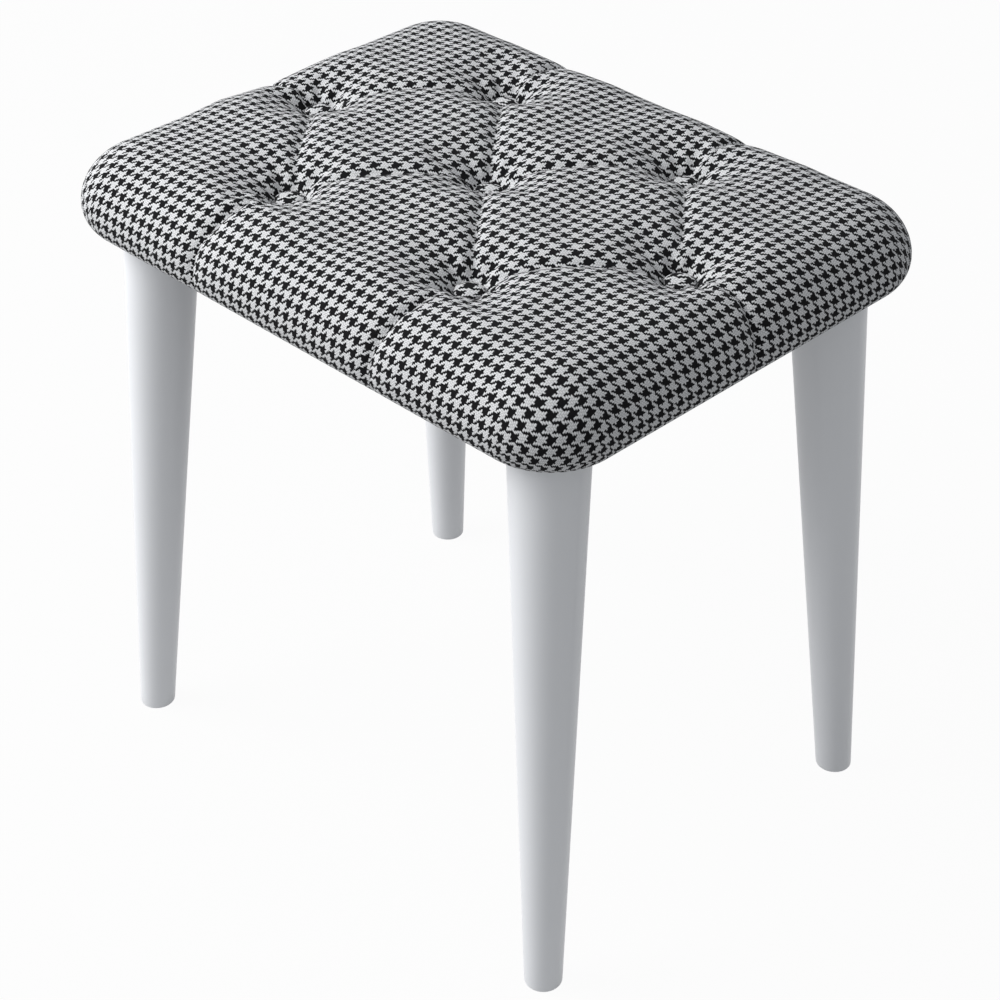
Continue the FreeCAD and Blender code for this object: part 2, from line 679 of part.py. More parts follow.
def seat_form(depth):
    """Solid of the tufted seat for the layer at a depth in it."""
    levels = seat_levels(depth)
    slab = skin([seat_outline(inset, height, seat_corner(inset)) for inset, height in levels])
    tufts = tuft_places()
    tools = [hollow().translated(tuft) for tuft in tufts]
    for k, start in enumerate(TUFTS):
        for m, end in enumerate(TUFTS[:k]):
            if abs(start[0] - end[0]) == 1 and abs(start[1] - end[1]) == 1:
                tools.append(pleat(tufts[k], tufts[m]))
    tools = [tool.translated(UP * -depth) for tool in tools]
    for (i, j), tuft in zip(TUFTS, tufts):
        if i or j:
            outward = Vector(0, j, 0) if j else Vector(i, 0, 0).normalize()
            tools.append(edge_pleat(tuft, outward, depth))
    return slab.cut(tools)


def regular_block(sides, diameter, low, high):
    """Upright block with a regular outline, with its size over its corners."""
    turns = [2 * math.pi * k / sides for k in range(sides)]
    outline = [Vector(diameter / 2 * math.cos(t), diameter / 2 * math.sin(t), 0) for t in turns]
    return skin([[point + UP * height for point in outline] for height in (low, high)])


def make_seat(buttons, plate_openings):
    """Foam pad on the board and the cover round it, both with the tufted form and pierced by the stitches."""
    thickness, underside = size("cover_thickness"), size("seat_underside")
    inset = size("board_inset")
    inside = seat_form(thickness)
    hole = regular_block(HOLE_SIDES, size("tuft_hole_diameter"), underside, measure(TUFT_SEAT) - thickness)
    board = rounded_block(inset, measure(BOARD_CORNER), underside, size("board_thickness"))
    keep_shape(inside.cut([board] + [hole.translated(tuft) for tuft in tuft_places()]), "foam_pad")
    low, reach = underside - thickness - BEYOND, thickness + BEYOND
    mouth = rounded_block(inset + size("cover_return"), size("shoulder_corner_radius"), low, reach)
    tools = [inside, mouth] + plate_openings.Shape.Solids + buttons.Shape.Solids
    keep_shape(seat_form(0).cut(tools), "seat_cover")


# Writing


def check_all():
    """Stops if any object failed or any sub-part isn't a sound solid."""
    for item in doc.Objects:
        if "Invalid" in item.State or "Error" in item.State:
            raise RuntimeError(f"{item.Label} is {item.State}")
    for node in nodes:
        shape = node.Shape
        if shape.isNull() or not shape.isValid() or not shape.Solids:
            raise RuntimeError(f"{node.Label} is not a sound solid")


def write_all():
    """Writes each sub-part to its own file."""
    os.makedirs("parts", exist_ok=True)
    for node in nodes:
        node.Shape.exportStep(f"parts/{node.Label}.step")
        print(f"{node.Label}: {len(node.Shape.Solids)} solids, {node.Shape.Volume:.1f} mm3")


fill_sheet()
plate_screws = make_screws()
for corner_name in CORNERS:
    make_leg(corner_name)
    make_bolt(corner_name)
    make_plate(corner_name, plate_screws)
make_board(plate_screws)
plate_openings = make_openings()
make_dust_cover(plate_openings)
make_staples()
make_twines()
make_seat(make_buttons(), plate_openings)
doc.recompute()
check_all()
write_all()
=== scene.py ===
"""Looks of a tufted footstool: a padded houndstooth seat with covered buttons on four painted legs.

All sizes are in metres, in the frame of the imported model: +X along the seat's length, +Z up, and the
origin on the floor under the middle of the seat.
"""

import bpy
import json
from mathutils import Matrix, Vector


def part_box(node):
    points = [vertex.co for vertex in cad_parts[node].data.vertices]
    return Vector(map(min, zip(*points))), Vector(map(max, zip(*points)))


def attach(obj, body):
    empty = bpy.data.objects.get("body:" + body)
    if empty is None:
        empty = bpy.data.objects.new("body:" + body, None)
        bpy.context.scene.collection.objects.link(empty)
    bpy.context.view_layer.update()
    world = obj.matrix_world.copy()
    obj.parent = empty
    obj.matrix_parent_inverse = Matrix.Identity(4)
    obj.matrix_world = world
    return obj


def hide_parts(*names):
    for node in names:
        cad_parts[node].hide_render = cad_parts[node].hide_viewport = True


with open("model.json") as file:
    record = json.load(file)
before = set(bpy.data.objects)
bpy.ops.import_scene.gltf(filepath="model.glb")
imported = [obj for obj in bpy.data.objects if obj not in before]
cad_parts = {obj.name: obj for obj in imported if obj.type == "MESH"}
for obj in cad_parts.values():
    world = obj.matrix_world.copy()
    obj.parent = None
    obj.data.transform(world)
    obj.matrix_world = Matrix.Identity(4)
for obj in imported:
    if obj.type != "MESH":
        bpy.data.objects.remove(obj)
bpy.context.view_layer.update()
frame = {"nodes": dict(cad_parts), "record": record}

import json
import logging
import math
from dataclasses import dataclass, field
from enum import Enum

import bmesh
import bpy
import numpy as np
from mathutils import Vector

log = logging.getLogger("footstool")
BODY = "root"
CLOTH_MAP = "cloth"
MERGE_DISTANCE = 1e-6
LEVEL_TOLERANCE = 1e-6
TINY = 1e-9
MM_PER_M = 1000.0
FULL_TURN = 2 * np.pi
IN_PLAN = (1.0, 1.0, 0.0)
UP = (0.0, 0.0, 1.0)
Array = np.ndarray
Piece = bpy.types.Object
Socket = bpy.types.NodeSocket
Colour = tuple[float, float, float]


class Slot(str, Enum):
    """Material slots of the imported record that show."""

    HOUNDSTOOTH = "houndstooth"
    PLYWOOD = "plywood"
    DUST_CLOTH = "dust_cloth"
    TWINE = "twine"
    STEEL = "steel"
    WHITE_PAINT = "white_paint"


class Corner(str, Enum):
    """The four corners of the stool, as the nodes name them."""

    FRONT_LEFT = "front_left"
    FRONT_RIGHT = "front_right"
    BACK_LEFT = "back_left"
    BACK_RIGHT = "back_right"


# Surfaces


@dataclass
class Surface:
    """A mesh as arrays: its points, its quads and, for cloth, the flat place of each point."""

    points: Array
    quads: Array
    flat: Array | None = None


def grid_surface(points: Array, around: bool = False, flat: Array | None = None) -> Surface:
    """Quads between neighbours of a grid of points.

    Args:
        points: Grid of shape (rows, columns, 3).
        around: True where the last column joins the first.
        flat: Flat cloth places of shape (rows, columns, 2), for cloth.

    Returns:
        The surface, facing the way that rows cross columns by the right hand.
    """
    rows, columns = points.shape[:2]
    index = np.arange(rows * columns).reshape(rows, columns)
    if around:
        index = np.concatenate([index, index[:, :1]], axis=1)
    low, high = index[:-1], index[1:]
    quads = np.stack([low[:, :-1], low[:, 1:], high[:, 1:], high[:, :-1]], axis=-1)
    places = None if flat is None else flat.reshape(-1, 2)
    return Surface(points.reshape(-1, 3), quads.reshape(-1, 4), places)


def joined(surfaces: list[Surface]) -> Surface:
    """Several surfaces as one, with their quads renumbered.

    Args:
        surfaces: The surfaces, all of them with flat cloth places or none.

    Returns:
        The one surface.
    """
    starts = np.cumsum([0] + [len(surface.points) for surface in surfaces[:-1]])
    quads = [surface.quads + start for surface, start in zip(surfaces, starts)]
    flat = None
    if surfaces[0].flat is not None:
        flat = np.concatenate([surface.flat for surface in surfaces])
    return Surface(np.concatenate([surface.points for surface in surfaces]), np.concatenate(quads), flat)


def rim_of(points: Array) -> Array:
    """The points round the outside of a grid, in the order that closes it.

    Args:
        points: Grid of shape (rows, columns, 3).

    Returns:
        Their numbers.
    """
    rows, columns = points.shape[:2]
    index = np.arange(rows * columns).reshape(rows, columns)
    return np.concatenate([index[:-1, 0], index[-1, :-1], index[:0:-1, -1], index[0, :0:-1]])


def finer_grid(values: Array) -> Array:
    """A grid with a new row and column between each two.

    Between the middle two of four neighbours, the value is nine times both less the outer two, over sixteen.
    Past its ends a line goes on straight.

    Args:
        values: Grid of shape (rows, columns, ...).

    Returns:
        The finer grid.
    """
    for axis in (0, 1):
        line = np.moveaxis(values, axis, 0)
        padded = np.concatenate([2 * line[:1] - line[1:2], line, 2 * line[-1:] - line[-2:-1]])
        between = (9.0 * (padded[1:-2] + padded[2:-1]) - padded[:-3] - padded[3:]) / 16.0
        woven = np.empty((2 * len(line) - 1, *line.shape[1:]))
        woven[0::2] = line
        woven[1::2] = between
        values = np.moveaxis(woven, 0, axis)
    return values


def new_piece(name: str, surface: Surface, rim: Array | None = None) -> Piece:
    """A smooth mesh object at the origin, with poles and seams closed.

    Args:
        name: The piece's name.
        surface: Its points and quads.
        rim: Points of one more face, which closes an open side.

    Returns:
        The object, in the scene and riding on the one body.
    """
    mesh = bpy.data.meshes.new(name)
    faces = surface.quads.tolist() + ([] if rim is None else [rim.tolist()])
    mesh.from_pydata(surface.points, [], faces)
    if surface.flat is not None:
        corners = np.empty(len(mesh.loops), np.int32)
        mesh.loops.foreach_get("vertex_index", corners)
        layer = mesh.uv_layers.new(name=CLOTH_MAP)
        layer.uv.foreach_set("vector", surface.flat[corners].astype(np.float32).ravel())
    work = bmesh.new()
    work.from_mesh(mesh)
    bmesh.ops.remove_doubles(work, verts=work.verts, dist=MERGE_DISTANCE)
    bmesh.ops.dissolve_degenerate(work, edges=work.edges, dist=MERGE_DISTANCE)
    work.to_mesh(mesh)
    work.free()
    mesh.shade_smooth()
    piece = bpy.data.objects.new(name, mesh)
    bpy.context.scene.collection.objects.link(piece)
    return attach(piece, BODY)


def face_outwards(piece: Piece) -> None:
    """Turns the faces of a closed piece outwards.

    Args:
        piece: The piece, with its poles and seams closed.
    """
    work = bmesh.new()
    work.from_mesh(piece.data)
    bmesh.ops.recalc_face_normals(work, faces=work.faces)
    work.to_mesh(piece.data)
    work.free()


def points_of(piece: Piece) -> Array:
    """The points of a piece's own mesh.

    Args:
        piece: The piece.

    Returns:
        Its points, of shape (count, 3).
    """
    points = np.empty(len(piece.data.vertices) * 3, np.float32)
    piece.data.vertices.foreach_get("co", points)
    return points.reshape(-1, 3).astype(float)


def smooth_step(value: Array) -> Array:
    """Rises from 0 to 1 as value does, level at both ends: its square times three less twice itself."""
    share = np.clip(value, 0.0, 1.0)
    return share * share * (3.0 - 2.0 * share)


# Shader nodes

VECTOR = "NodeSocketVector"
FLOAT = "NodeSocketFloat"
WHITE = (1.0, 1.0, 1.0)
NOISE_MIDDLE = (0.5, 0.5, 0.5)
HALF = 0.5

# Numbers of the Mix node's sockets, whose names repeat.
MIX_SHARE = 0
MIX_FIRST_VALUE = 2
MIX_SECOND_VALUE = 3
MIX_FIRST_COLOUR = 6
MIX_SECOND_COLOUR = 7
MIXED_VALUE = 0
MIXED_COLOUR = 2

# The twill: each yarn floats over two of every four crossings, and its count across runs against +X.
TWILL = "houndstooth twill"
TWILL_CYCLE = 4.0
TWILL_FLOAT = 2.0
TWILL_SLANT = -1.0
YARN_ROUNDING = 0.6
GRAIN_LENGTH = 5.0
GRAIN_SCALE = 0.9

MOTTLE = "mottle"
BROAD_DETAIL = 3.0
FINE_DETAIL = 4.0


class Shading:
    """A node tree with short calls for what the finishes use."""

    def __init__(self, tree: bpy.types.NodeTree) -> None:
        """Keeps the tree that nodes are added to."""
        self.tree = tree

    def node(self, kind: str, inputs: dict | None = None, **settings: object) -> bpy.types.Node:
        """Adds a node.

        Args:
            kind: The node's type.
            inputs: Values or sockets by the input's name or number.
            settings: The node's own properties.

        Returns:
            The new node.
        """
        made = self.tree.nodes.new(kind)
        for name, value in settings.items():
            setattr(made, name, value)
        for key, value in (inputs or {}).items():
            self.feed(made.inputs[key], value)
        return made

    def feed(self, target: Socket, value: object) -> None:
        """Links a socket to an input, or sets the input's value.

        Args:
            target: The input.
            value: A socket, or a plain value.
        """
        if isinstance(value, Socket):
            self.tree.links.new(value, target)
        else:
            target.default_value = value

    def math(self, operation: str, *values: object) -> Socket:
        """A math node of one to three values."""
        return self.node("ShaderNodeMath", dict(enumerate(values)), operation=operation).outputs[0]

    def mix(self, share: object, first: object, second: object) -> Socket:
        """A colour mixed from two by a share."""
        inputs = {MIX_SHARE: share, MIX_FIRST_COLOUR: first, MIX_SECOND_COLOUR: second}
        return self.node("ShaderNodeMix", inputs, data_type="RGBA").outputs[MIXED_COLOUR]

    def noise(self, place: Socket, scale: object, detail: float = 2.0) -> Socket:
        """Noise from 0 to 1 at a place."""
        inputs = {"Vector": place, "Scale": scale, "Detail": detail}
        return self.node("ShaderNodeTexNoise", inputs).outputs["Fac"]

    def ranged(self, value: Socket, low: float, high: float) -> Socket:
        """A value from 0 to 1 laid between two limits."""
        inputs = {"Value": value, "To Min": low, "To Max": high}
        return self.node("ShaderNodeMapRange", inputs).outputs["Result"]

    def bump(self, height: Socket, distance: float, strength: float) -> Socket:
        """A normal from a height of 0 to 1 that stands for a distance."""
        inputs = {"Height": height, "Distance": distance, "Strength": strength}
        return self.node("ShaderNodeBump", inputs).outputs["Normal"]


Group = tuple[Shading, dict[str, Socket], bpy.types.Node]


def new_group(name: str, inputs: dict[str, str], outputs: dict[str, str]) -> Group:
    """A shader node group with named sockets.

    Args:
        name: The group's name.
        inputs: Socket types by input name.
        outputs: Socket types by output name.

    Returns:
        The group's shading, its input sockets by name and its output node.
    """
    tree = bpy.data.node_groups.new(name, "ShaderNodeTree")
    for label, kind in inputs.items():
        tree.interface.new_socket(label, in_out="INPUT", socket_type=kind)
    for label, kind in outputs.items():
        tree.interface.new_socket(label, in_out="OUTPUT", socket_type=kind)
    entry = tree.nodes.new("NodeGroupInput")
    leaving = tree.nodes.new("NodeGroupOutput")
    return Shading(tree), {label: entry.outputs[label] for label in inputs}, leaving


def twill_group() -> bpy.types.NodeTree:
    """Two-and-two twill of dark and light yarns in bands, which makes houndstooth.

    Cell (i, j) shows its warp where i + j, counted in fours, is under 2, and else its weft. A yarn is dark
    in the first half of each repeat. Its height is an arch across it times an arch along its float.

    Returns:
        The group, with a mask of light yarns, a height and a grain along the yarns.
    """
    shade, given, leaving = new_group(
        TWILL,
        {"Place": VECTOR, "Yarn": FLOAT, "Repeat": FLOAT},
        {"Light": FLOAT, "Height": FLOAT, "Grain": FLOAT},
    )
    split = shade.node("ShaderNodeSeparateXYZ", {0: given["Place"]})
    across = shade.math("MULTIPLY", shade.math("DIVIDE", split.outputs["X"], given["Yarn"]), TWILL_SLANT)
    along = shade.math("DIVIDE", split.outputs["Y"], given["Yarn"])
    warp = shade.math("FLOOR", across)
    weft = shade.math("FLOOR", along)
    dark_yarns = shade.math("SUBTRACT", shade.math("MULTIPLY", given["Repeat"], HALF), HALF)
    warp_float = shade.math("FLOORED_MODULO", shade.math("ADD", along, warp), TWILL_CYCLE)
    weft_float = shade.math("FLOORED_MODULO", shade.math("ADD", across, weft), TWILL_CYCLE)
    crossing = shade.math("FLOORED_MODULO", shade.math("ADD", warp, weft), TWILL_CYCLE)
    warp_shows = shade.math("LESS_THAN", crossing, TWILL_FLOAT - HALF)

    def is_light(count: Socket) -> Socket:
        """1 where a yarn is in the second half of its repeat."""
        return shade.math("GREATER_THAN", shade.math("FLOORED_MODULO", count, given["Repeat"]), dark_yarns)

    def choose(first: Socket, second: Socket) -> Socket:
        """The first where the warp shows, and else the second."""
        inputs = {MIX_SHARE: warp_shows, MIX_FIRST_VALUE: second, MIX_SECOND_VALUE: first}
        return shade.node("ShaderNodeMix", inputs).outputs[MIXED_VALUE]

    def arch(value: Socket, width: float) -> Socket:
        """Half a sine over a width."""
        return shade.math("SINE", shade.math("MULTIPLY", value, math.pi / width))

    def grain_at(stretched: Socket, plain: Socket, turned: bool) -> Socket:
        """Noise that is drawn out along a yarn."""
        fine = shade.math("MULTIPLY", stretched, GRAIN_LENGTH)
        inputs = {0: plain, 1: fine} if turned else {0: fine, 1: plain}
        return shade.noise(shade.node("ShaderNodeCombineXYZ", inputs).outputs[0], GRAIN_SCALE)

    warp_rise = arch(warp_float, TWILL_FLOAT)
    weft_rise = arch(shade.math("SUBTRACT", weft_float, TWILL_FLOAT), TWILL_FLOAT)
    warp_height = shade.math("MULTIPLY", arch(shade.math("FRACT", across), 1.0), warp_rise)
    weft_height = shade.math("MULTIPLY", arch(shade.math("FRACT", along), 1.0), weft_rise)
    arched = shade.math("ABSOLUTE", choose(warp_height, weft_height))
    grain = choose(grain_at(across, along, False), grain_at(along, across, True))
    shade.feed(leaving.inputs["Light"], choose(is_light(warp), is_light(weft)))
    shade.feed(leaving.inputs["Height"], shade.math("POWER", arched, YARN_ROUNDING))
    shade.feed(leaving.inputs["Grain"], grain)
    return shade.tree


def mottle_group() -> bpy.types.NodeTree:
    """Slow and fine unevenness of a hand-finished surface.

    Returns:
        The group, with a broad mask, a fine mask and the mean of the two.
    """
    shade, given, leaving = new_group(
        MOTTLE,
        {"Place": VECTOR, "Broad": FLOAT, "Fine": FLOAT},
        {"Broad": FLOAT, "Fine": FLOAT, "Both": FLOAT},
    )
    broad = shade.noise(given["Place"], given["Broad"], BROAD_DETAIL)
    fine = shade.noise(given["Place"], given["Fine"], FINE_DETAIL)
    both = shade.math("MULTIPLY_ADD", broad, HALF, shade.math("MULTIPLY", fine, HALF))
    shade.feed(leaving.inputs["Broad"], broad)
    shade.feed(leaving.inputs["Fine"], fine)
    shade.feed(leaving.inputs["Both"], both)
    return shade.tree


def placed_group(shade: Shading, name: str, inputs: dict) -> bpy.types.Node:
    """Places a node group in a tree and feeds it.

    Args:
        shade: The tree's shading.
        name: The group's name.
        inputs: Values or sockets by the input's name.

    Returns:
        The group's node.
    """
    made = shade.node("ShaderNodeGroup", node_tree=bpy.data.node_groups[name])
    for key, value in inputs.items():
        shade.feed(made.inputs[key], value)
    return made


# Finishes


def opaque(colour: Colour) -> tuple[float, float, float, float]:
    """A colour with full alpha."""
    return (*colour, 1.0)


def toned(colour: Colour, share: float) -> Colour:
    """A colour brought down to a share of itself."""
    return tuple(share * part for part in colour)


@dataclass(frozen=True)
class Finish:
    """A material of one principled shader, dressed by its own kind."""

    name: str
    colour: Colour
    roughness: float

    def material(self) -> bpy.types.Material:
        """Builds the material, or finds it where it was built before.

        Returns:
            The material.
        """
        found = bpy.data.materials.get(self.name)
        if found:
            return found
        made = bpy.data.materials.new(self.name)
        made.use_nodes = True
        shader = made.node_tree.nodes["Principled BSDF"]
        shader.inputs["Base Color"].default_value = opaque(self.colour)
        shader.inputs["Roughness"].default_value = self.roughness
        self.dress(Shading(made.node_tree), shader)
        return made

    def dress(self, shade: Shading, shader: bpy.types.Node) -> None:
        """Adds what the kind of finish shows."""
        raise NotImplementedError

    def mottle(self, shade: Shading, broad: float, fine: float) -> bpy.types.Node:
        """Places the mottle, at a broad and a fine scale, on the object's own coordinates."""
        place = shade.node("ShaderNodeTexCoord").outputs["Object"]
        return placed_group(shade, MOTTLE, {"Place": place, "Broad": broad, "Fine": fine})

    def vary_colour(self, shade: Shading, shader: bpy.types.Node, mask: Socket, tone: float) -> None:
        """Brings the colour down to a tone of itself where a mask is low."""
        varied = shade.mix(mask, opaque(toned(self.colour, tone)), opaque(self.colour))
        shade.feed(shader.inputs["Base Color"], varied)


@dataclass(frozen=True)
class Houndstooth(Finish):
    """Woven houndstooth on the cloth's own flat map."""

    light: Colour = (0.93, 0.935, 0.95)
    deepest: Colour = (0.002, 0.002, 0.0025)
    # Painted shade: below this level of the weave's height, between the yarns, the colour is darkened towards
    # near black.
    painted_gap_shade: Colour = (0.004, 0.004, 0.004)
    gap_shade_level: float = 0.55
    light_tone: float = 0.82
    yarn: float = 0.001025
    repeat: float = 8.0
    relief: float = 0.0003
    relief_strength: float = 0.7
    fuzz: float = 0.01
    fuzz_roughness: float = 0.5
    gloss: float = 0.1
    waver: float = 0.0009
    waver_scale: float = 0.9
    waver_detail: float = 1.0

    def dress(self, shade: Shading, shader: bpy.types.Node) -> None:
        """Lets the yarns waver, colours them along their grain, paints shade into the gaps between them and
        raises the weave.

        Args:
            shade: The material's shading.
            shader: Its principled shader.
        """
        flat = shade.node("ShaderNodeUVMap", uv_map=CLOTH_MAP).outputs["UV"]
        waves = {"Vector": flat, "Scale": self.waver_scale / self.yarn, "Detail": self.waver_detail}
        stray = shade.node("ShaderNodeTexNoise", waves).outputs["Color"]
        centred = shade.node("ShaderNodeVectorMath", {0: stray, 1: NOISE_MIDDLE}, operation="SUBTRACT")
        moved = {0: centred.outputs[0], 1: (self.waver,) * 3, 2: flat}
        place = shade.node("ShaderNodeVectorMath", moved, operation="MULTIPLY_ADD").outputs[0]
        twill = placed_group(shade, TWILL, {"Place": place, "Yarn": self.yarn, "Repeat": self.repeat})
        grain = twill.outputs["Grain"]
        height = twill.outputs["Height"]
        dark = shade.mix(grain, opaque(self.deepest), opaque(self.colour))
        pale = shade.mix(grain, opaque(toned(self.light, self.light_tone)), opaque(self.light))
        yarns = shade.mix(twill.outputs["Light"], dark, pale)
        # Painted shade in the gaps between yarns, darkest where the weave is lowest.
        shaded = shade.mix(shade.ranged(height, self.gap_shade_level, 1.0), opaque(self.painted_gap_shade), yarns)
        shade.feed(shader.inputs["Base Color"], shaded)
        shader.inputs["Sheen Weight"].default_value = self.fuzz
        shader.inputs["Sheen Roughness"].default_value = self.fuzz_roughness
        shader.inputs["Specular IOR Level"].default_value = self.gloss
        shade.feed(shader.inputs["Normal"], shade.bump(height, self.relief, self.relief_strength))


@dataclass(frozen=True)
class SatinPaint(Finish):
    """Sprayed satin paint on turned wood: a faint orange peel and an uneven sheen."""

    broad: float = 14.0
    peel: float = 900.0
    tone: float = 0.965
    uneven: float = 0.06
    relief: float = 0.00006
    relief_strength: float = 0.35

    def dress(self, shade: Shading, shader: bpy.types.Node) -> None:
        """Adds a slow change of colour, an uneven gloss and the peel.

        Args:
            shade: The material's shading.
            shader: Its principled shader.
        """
        mottle = self.mottle(shade, self.broad, self.peel)
        broad = mottle.outputs["Broad"]
        self.vary_colour(shade, shader, broad, self.tone)
        gloss = shade.ranged(broad, self.roughness - self.uneven, self.roughness + self.uneven)
        shade.feed(shader.inputs["Roughness"], gloss)
        peel = shade.bump(mottle.outputs["Fine"], self.relief, self.relief_strength)
        shade.feed(shader.inputs["Normal"], peel)


@dataclass(frozen=True)
class ZincSteel(Finish):
    """Zinc-plated steel with faint spangle and rubbed patches."""

    patches: float = 120.0
    spangle: float = 700.0
    tone: float = 0.7
    rubbed: float = 0.1
    dulled: float = 0.15

    def dress(self, shade: Shading, shader: bpy.types.Node) -> None:
        """Breaks the colour and the gloss up.

        Args:
            shade: The material's shading.
            shader: Its principled shader.
        """
        mottle = self.mottle(shade, self.patches, self.spangle)
        self.vary_colour(shade, shader, mottle.outputs["Both"], self.tone)
        shader.inputs["Metallic"].default_value = 1.0
        smooth = self.roughness - self.rubbed
        gloss = shade.ranged(mottle.outputs["Broad"], smooth, self.roughness + self.dulled)
        shade.feed(shader.inputs["Roughness"], gloss)


@dataclass(frozen=True)
class Fibre(Finish):
    """Loose or pressed fibres, as in non-woven cloth, twine and bare plywood."""

    tone: float = 0.6
    broad: float = 60.0
    fine: float = 1500.0
    relief: float = 0.0004
    relief_strength: float = 0.6

    def dress(self, shade: Shading, shader: bpy.types.Node) -> None:
        """Mottles the colour and raises the fibres.

        Args:
            shade: The material's shading.
            shader: Its principled shader.
        """
        mottle = self.mottle(shade, self.broad, self.fine)
        self.vary_colour(shade, shader, mottle.outputs["Both"], self.tone)
        fibres = shade.bump(mottle.outputs["Fine"], self.relief, self.relief_strength)
        shade.feed(shader.inputs["Normal"], fibres)


COVER_CLOTH = Houndstooth("houndstooth_cloth", (0.014, 0.014, 0.016), 0.92)
LEG_PAINT = SatinPaint("white_satin_paint", (0.85, 0.86, 0.885), 0.36)
PLATED_STEEL = ZincSteel("zinc_plated_steel", (0.62, 0.63, 0.65), 0.34)
BLACK_NON_WOVEN = Fibre("black_non_woven", (0.03, 0.03, 0.032), 0.92)
BARE_PLYWOOD = Fibre("bare_plywood", (0.6, 0.43, 0.26), 0.7, tone=0.75, broad=25.0, fine=400.0, relief=0.0002)
WAXED_TWINE = Fibre("waxed_twine", (0.72, 0.66, 0.52), 0.6, tone=0.7)


def dress(piece: Piece, finish: Finish) -> None:
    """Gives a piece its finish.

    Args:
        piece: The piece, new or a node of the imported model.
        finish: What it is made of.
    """
    piece.data.materials.clear()
    piece.data.materials.append(finish.material())


# Seat

BUTTON_RADIUS = 0.0095


@dataclass
class Tufts:
    """The seven buttons' places, and the hollows and pleats that they draw into the seat."""

    end_x: float
    side_y: float
    depth: float = 0.0195
    seat_radius: float = 0.009
    hollow_reach: float = 0.0125
    pleat_depth: float = 0.0055
    pleat_reach: float = 0.0085
    pleat_end: float = 0.5
    edge_depth: float = 0.0042
    edge_reach: float = 0.0048
    edge_start: float = 0.01
    fold: float = 0.0016
    fold_reach: float = 0.05
    fold_taper: float = 4.0
    fold_start: float = 0.03
    used_cloth: float = 0.003
    used_start: float = 0.022
    used_reach: float = 0.06
    wander: float = 0.003
    wander_wave: float = 0.02
    wander_start: float = 0.05
    gather_depth: float = 0.0013
    gather_count: int = 9
    second_count: int = 5
    second_share: float = 0.6
    gather_ring: float = 1.9
    gather_width: float = 0.9
    gather_start: float = 0.004
    blend: float = 4.0
    seed: int = 7

    def places(self) -> Array:
        """The buttons in plan: three along the middle and two on each side of it."""
        steps = np.array([(-2, 0), (0, 0), (2, 0), (-1, -1), (1, -1), (-1, 1), (1, 1)], float)
        return steps * (self.end_x / 2, self.side_y)

    def nearest(self, flat: Array) -> Array:
        """How far each place is from the nearest button's middle."""
        return np.min([np.hypot(*np.moveaxis(flat - place, -1, 0)) for place in self.places()], axis=0)

    def pleats(self) -> list[tuple[Array, Array]]:
        """Pairs of neighbouring buttons, which a pleat joins.

        Returns:
            The two buttons' places of each pleat.
        """
        places = self.places()
        middle, ends, sides = places[1], places[[0, 2]], places[3:]
        pairs = [(middle, side) for side in sides]
        return pairs + [(end, side) for end in ends for side in sides if end[0] * side[0] > 0]

    def edge_runs(self) -> list[tuple[Array, Array]]:
        """Each outer button with the way that its pleat leaves over the edge."""
        runs = [(place, np.array([np.sign(place[0]), 0.0])) for place in self.places()[[0, 2]]]
        return runs + [(place, np.array([0.0, np.sign(place[1])])) for place in self.places()[3:]]

    def sink(self, flat: Array, fade: Array) -> Array:
        """How far the cloth is drawn in.

        Each hollow is an exponential of the way from the button's edge, each pleat an exponential of the way
        from its crease, deeper towards its ends. They join as a soft maximum. Two waves of gathers ripple
        round a button, most at a ring outside its edge.

        Args:
            flat: Flat cloth places, of shape (..., 2).
            fade: 1 on the seat, falling to 0 at its lower edge.

        Returns:
            The depth at each place.
        """
        draw = np.random.default_rng(self.seed)
        total = np.zeros(flat.shape[:-1])
        ripple = np.zeros(flat.shape[:-1])
        for place in self.places():
            away = flat - place
            radius = np.hypot(away[..., 0], away[..., 1])
            past = np.maximum(radius - self.seat_radius, 0.0)
            total += (self.depth * np.exp(-past / self.hollow_reach)) ** self.blend
            turn = np.arctan2(away[..., 1], away[..., 0])
            wave = np.cos(self.gather_count * turn + draw.uniform(0, FULL_TURN))
            wave += self.second_share * np.cos(self.second_count * turn + draw.uniform(0, FULL_TURN))
            ring = (radius / self.seat_radius - self.gather_ring) / self.gather_width
            ripple += self.gather_depth * wave * np.exp(-(ring ** 2)) * smooth_step(past / self.gather_start)
        for start, end in self.pleats():
            total += self.pleat(flat, start, end) ** self.blend
        for start, outward in self.edge_runs():
            total += (self.edge_pleat(flat, start, outward) * fade) ** self.blend
        return total ** (1.0 / self.blend) + ripple

    def pleat(self, flat: Array, start: Array, end: Array) -> Array:
        """Depth of the pleat between two buttons.

        It is an exponential of the way from the crease. Along the crease it is least midway, and grows as the
        square of the way from there.

        Args:
            flat: Flat cloth places, of shape (..., 2).
            start: One button's place.
            end: The other's.

        Returns:
            The depth at each place.
        """
        run = end - start
        share = np.clip(((flat - start) @ run) / np.hypot(*run) ** 2, 0.0, 1.0)
        crease = start + share[..., None] * run
        away = np.hypot(*np.moveaxis(flat - crease, -1, 0))
        ends = np.abs(2.0 * share - 1.0) ** 2
        deep = self.pleat_depth + (self.pleat_end * self.depth - self.pleat_depth) * ends
        return deep * np.exp(-away / self.pleat_reach)

    def edge_pleat(self, flat: Array, start: Array, outward: Array) -> Array:
        """Depth of the pleat from a button over the edge: an exponential of the way from its crease.

        Args:
            flat: Flat cloth places, of shape (..., 2).
            start: The button's place.
            outward: The way that the pleat leaves.

        Returns:
            The depth at each place.
        """
        taper = smooth_step(((flat - start) @ outward) / self.edge_start)
        aside = self.aside(flat, start, outward)
        return self.edge_depth * np.exp(-np.abs(aside) / self.edge_reach) * taper

